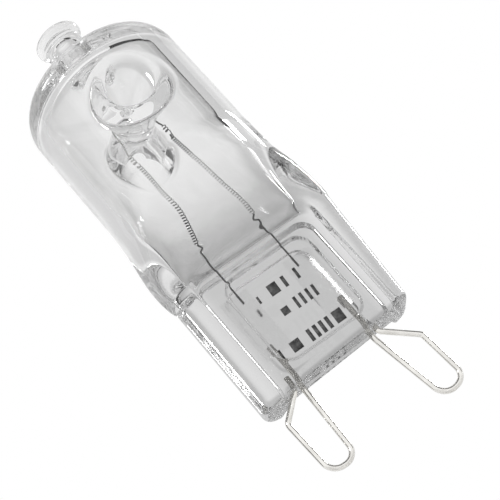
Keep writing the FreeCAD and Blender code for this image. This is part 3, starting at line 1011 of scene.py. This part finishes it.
def wire_material(name, low, high, roughness):
    """Drawn metal wire with faint tarnish."""
    material, shader = new_material(name, high, 1.0, roughness)
    tarnish = noise(material, 900.0, 4.0)
    coloured(material, shader, tarnish, low, high)
    material.node_tree.links.new(ranged(material, tarnish, roughness * 0.7, roughness * 1.4),
                                 shader.inputs["Roughness"])
    bumped(material, shader, noise(material, 2500.0, 2.0, (1.0, 1.0, 0.2)), 0.06, 0.00002)
    return material


def coil_material():
    """Bright tungsten, darkened at the left coil's lower part and the right coil's upper part."""
    material, shader = new_material("coil_tungsten", (0.5, 0.5, 0.5), 1.0, 0.35)
    links = material.node_tree.links
    axes = own_axes(material)
    right = stepped(material, axes["X"], -0.1, 0.1)
    high = stepped(material, axes["Z"], *RIGHT_DARKENING)
    low = stepped(material, axes["Z"], *LEFT_DARKENING)
    mix = material.node_tree.nodes.new("ShaderNodeMix")
    links.new(right, mix.inputs["Factor"])
    links.new(low, mix.inputs["A"])
    links.new(high, mix.inputs["B"])
    grain = noise(material, 2500.0, 3.0)
    coil_darkness = joined(material, "MULTIPLY", ranged(material, grain, 0.8, 1.0), mix.outputs["Result"])
    coloured(material, shader, coil_darkness, (0.62, 0.62, 0.61), (0.05, 0.05, 0.05), 0.0, 1.0)
    return material


def ink_material():
    """Dark stamped ink, a little uneven."""
    material, shader = new_material("ink", (0.05, 0.05, 0.05), 0.0, 0.6)
    grain = noise(material, 3000.0, 4.0)
    coloured(material, shader, grain, (0.02, 0.02, 0.02), (0.12, 0.12, 0.12))
    return material


def area_lamp(name, place, size, power):
    """Soft rectangular lamp that faces the middle of the capsule."""
    data = bpy.data.lights.new(name, "AREA")
    data.shape = "RECTANGLE"
    data.size, data.size_y = size
    data.energy = power
    lamp = bpy.data.objects.new(name, data)
    lamp.location = place
    aim = LAMP_AIM - lamp.location
    lamp.rotation_euler = aim.to_track_quat("-Z", "Y").to_euler()
    scene.collection.objects.link(lamp)
    return lamp


def white_surroundings(fill):
    """White where it is seen, straight or in metal and glass, and a softer light elsewhere."""
    world = bpy.data.worlds.new("surroundings")
    scene.world = world
    world.use_nodes = True
    nodes = world.node_tree.nodes
    links = world.node_tree.links
    path = nodes.new("ShaderNodeLightPath")
    seen = path.outputs["Is Camera Ray"]
    for name in ("Is Glossy Ray", "Is Transmission Ray"):
        seen = joined(world, "MAXIMUM", seen, path.outputs[name])
    strength = nodes.new("ShaderNodeMath")
    strength.operation = "MULTIPLY_ADD"
    strength.inputs[1].default_value = 1.0 - fill
    strength.inputs[2].default_value = fill
    links.new(seen, strength.inputs[0])
    background = nodes["Background"]
    background.inputs["Color"].default_value = (1.0, 1.0, 1.0, 1.0)
    links.new(strength.outputs["Value"], background.inputs["Strength"])


def plane(name, centre, right, up, material):
    """Flat stage panel from its middle and its two half sides."""
    corners = [centre - right - up, centre + right - up, centre + right + up, centre - right + up]
    mesh = bpy.data.meshes.new(name)
    mesh.from_pydata([tuple(corner) for corner in corners], [], [(0, 1, 2, 3)])
    mesh.materials.append(material)
    panel = bpy.data.objects.new(name, mesh)
    scene.collection.objects.link(panel)
    return panel


def card_material(name, tone):
    """Plain matt grey."""
    material, _ = new_material(name, (tone, tone, tone), 0.0, 0.9)
    return material


def pale_card_material(name, opening, softness, tone):
    """Glow that is white near the line of sight and an even grey further from it."""
    material = card_material(name, tone)
    nodes = material.node_tree.nodes
    links = material.node_tree.links
    where = nodes.new("ShaderNodeTexCoord")
    source = where.outputs["Object"]
    for operation, vector in (("SUBTRACT", AIM_POINT * MM), ("CROSS_PRODUCT", sight_frame()[1])):
        step = nodes.new("ShaderNodeVectorMath")
        step.operation = operation
        step.inputs[1].default_value = vector
        links.new(source, step.inputs[0])
        source = step.outputs["Vector"]
    length = nodes.new("ShaderNodeVectorMath")
    length.operation = "LENGTH"
    links.new(source, length.inputs[0])
    fall = nodes.new("ShaderNodeMapRange")
    fall.interpolation_type = "SMOOTHSTEP"
    fall.inputs["From Min"].default_value = opening
    fall.inputs["From Max"].default_value = opening + softness
    fall.inputs["To Min"].default_value = 1.0
    fall.inputs["To Max"].default_value = tone
    links.new(length.outputs["Value"], fall.inputs["Value"])
    glow = nodes.new("ShaderNodeEmission")
    links.new(fall.outputs["Result"], glow.inputs["Strength"])
    links.new(glow.outputs["Emission"], nodes["Material Output"].inputs["Surface"])
    return material


def sight_frame():
    """Directions level, ahead and upward for the photograph's view, without its roll."""
    ahead = Vector((math.sin(CAMERA_AZIMUTH) * math.cos(CAMERA_RISE),
                    math.cos(CAMERA_AZIMUTH) * math.cos(CAMERA_RISE), math.sin(CAMERA_RISE)))
    level = Vector((math.cos(CAMERA_AZIMUTH), -math.sin(CAMERA_AZIMUTH), 0.0))
    return level, ahead, level.cross(ahead)


def picture_frame():
    """Directions to the right, ahead and up in the photograph."""
    level, ahead, upward = sight_frame()
    across = level * math.cos(CAMERA_ROLL) + upward * math.sin(CAMERA_ROLL)
    up = -level * math.sin(CAMERA_ROLL) + upward * math.cos(CAMERA_ROLL)
    return across, ahead, up


def card(name, centre, right, up, material):
    """Stage card that glass and metal show and the camera doesn't."""
    panel = plane(name, centre, right, up, material)
    panel.visible_camera = False
    panel.visible_diffuse = False
    panel.visible_shadow = False


def window_of_cards(distance, opening, reach, material):
    """Four cards round an opening behind the capsule, square to the line of sight."""
    across, ahead, up = sight_frame()
    centre = AIM_POINT * MM + ahead * distance
    band = (reach - opening) / 2.0
    middle = (reach + opening) / 2.0
    for name, shift, right, rise in (
            ("card_left", -across * middle, across * band, up * reach),
            ("card_right", across * middle, across * band, up * reach),
            ("card_low", -up * middle, across * opening, up * band),
            ("card_high", up * middle, across * opening, up * band)):
        card(name, centre + shift, right, rise, material)


def side_card(name, turn, spread, near, far, material):
    """Card aside from the line of sight, between two angles from it, at a turn in the picture."""
    across, ahead, up = picture_frame()
    outward = across * math.cos(turn) + up * math.sin(turn)
    around = up * math.cos(turn) - across * math.sin(turn)
    middle = (near + far) / 2.0
    centre = ahead * math.cos(middle) + outward * math.sin(middle)
    radial = outward * math.cos(middle) - ahead * math.sin(middle)
    card(name, AIM_POINT * MM + centre * CARD_DISTANCE,
         radial * (CARD_DISTANCE * math.tan((far - near) / 2.0)),
         around * (CARD_DISTANCE * math.sin(middle) * math.tan(spread)), material)


def floor_material():
    """Pale floor that shows from above and lets the view from below through."""
    material, shader = new_material("pale_floor", (0.86, 0.86, 0.86), 0.0, 0.9)
    nodes = material.node_tree.nodes
    links = material.node_tree.links
    side = nodes.new("ShaderNodeNewGeometry")
    clear = nodes.new("ShaderNodeBsdfTransparent")
    mix = nodes.new("ShaderNodeMixShader")
    links.new(side.outputs["Backfacing"], mix.inputs["Fac"])
    links.new(shader.outputs["BSDF"], mix.inputs[1])
    links.new(clear.outputs["BSDF"], mix.inputs[2])
    links.new(mix.outputs["Shader"], nodes["Material Output"].inputs["Surface"])
    return material


def photo_camera():
    """Camera that sees the aim point at its pixel, below the lamp and a little to its left."""
    across, ahead, up = picture_frame()
    to_aim = across * ((AIM_PIXEL[0] - PHOTO_SIZE / 2.0) / FOCAL_PIXELS * AIM_DISTANCE)
    to_aim += up * ((PHOTO_SIZE / 2.0 - AIM_PIXEL[1]) / FOCAL_PIXELS * AIM_DISTANCE)
    to_aim += ahead * AIM_DISTANCE
    place = (AIM_POINT - to_aim) * MM
    data = bpy.data.cameras.new("camera")
    data.sensor_width = SENSOR_WIDTH
    data.lens = data.sensor_width * FOCAL_PIXELS / PHOTO_SIZE
    data.clip_start = 0.005
    camera = bpy.data.objects.new("camera", data)
    rotation = Matrix((across, up, -ahead)).transposed().to_4x4()
    camera.matrix_world = Matrix.Translation(place) @ rotation
    scene.collection.objects.link(camera)
    scene.camera = camera


photo_camera()

# Materials
quartz = quartz_material()
pin_metal = wire_material("pin_wire", (0.76, 0.745, 0.71), (0.95, 0.935, 0.90), 0.10)
tungsten = wire_material("tungsten", (0.12, 0.12, 0.12), (0.24, 0.24, 0.24), 0.35)
coil_metal = coil_material()
molybdenum = wire_material("foil", (0.93, 0.93, 0.93), (0.99, 0.99, 0.99), 0.15)
ink = ink_material()

# Pieces
make_piece("glass_envelope_clear", [outer_skin(), inner_skin()], quartz, "quartz", "glass_envelope")
make_piece("filament_coils", [
    wire_skin(coil_path(COIL_LEFT), COIL_WIRE, COIL_SIDES),
    wire_skin(saddle_path(), SADDLE_WIRE, COIL_SIDES),
    wire_skin(coil_path(COIL_RIGHT), COIL_WIRE, COIL_SIDES)], coil_metal, "tungsten", "filament")
make_piece("ink_marks", [slab(*mark) for mark in INK_MARKS], ink, None)
for side_name, side, coil in (("left", -1, COIL_LEFT), ("right", 1, COIL_RIGHT)):
    make_piece("loop_wire_" + side_name, [wire_skin(loop_pin_path(side), PIN_WIRE, WIRE_SIDES)],
               pin_metal, "pin_wire", "pin_loop_" + side_name)
    make_piece("lead_wire_" + side_name,
               [wire_skin(lead_path(side, coil[-1]), LEAD_WIRE, LEAD_SIDES)],
               tungsten, "tungsten", "inner_lead_" + side_name)
    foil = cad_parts["foil_" + side_name]
    foil.data.materials.clear()
    foil.data.materials.append(molybdenum)

# Studio
white_surroundings(fill=0.75)
plane("floor", centre=Vector((0, 0, cad_box[0].z - FLOOR_GAP)), right=Vector((FLOOR_REACH, 0, 0)),
      up=Vector((0, FLOOR_REACH, 0)), material=floor_material())
pale_card = pale_card_material("pale_card", opening=WINDOW_OPENING, softness=0.09, tone=0.73)
window_of_cards(distance=0.3, opening=WINDOW_OPENING, reach=0.55, material=pale_card)
side_card("card_dark", turn=math.radians(78.5), spread=math.radians(27.5),
          near=math.radians(50.0), far=math.radians(74.0),
          material=card_material("dark_card", 0.03))
contour_card = card_material("contour_card", 0.16)
for index in range(4):
    side_card("card_side_%d" % index, turn=index * math.pi / 2.0, spread=math.radians(44.0),
              near=math.radians(76.0), far=math.radians(112.0), material=contour_card)
key = area_lamp("key", place=(-0.25, -0.22, 0.30), size=(0.08, 0.08), power=0.5)
key.visible_transmission = False
area_lamp("rim", place=(0.30, 0.10, 0.12), size=(0.05, 0.10), power=0.4)
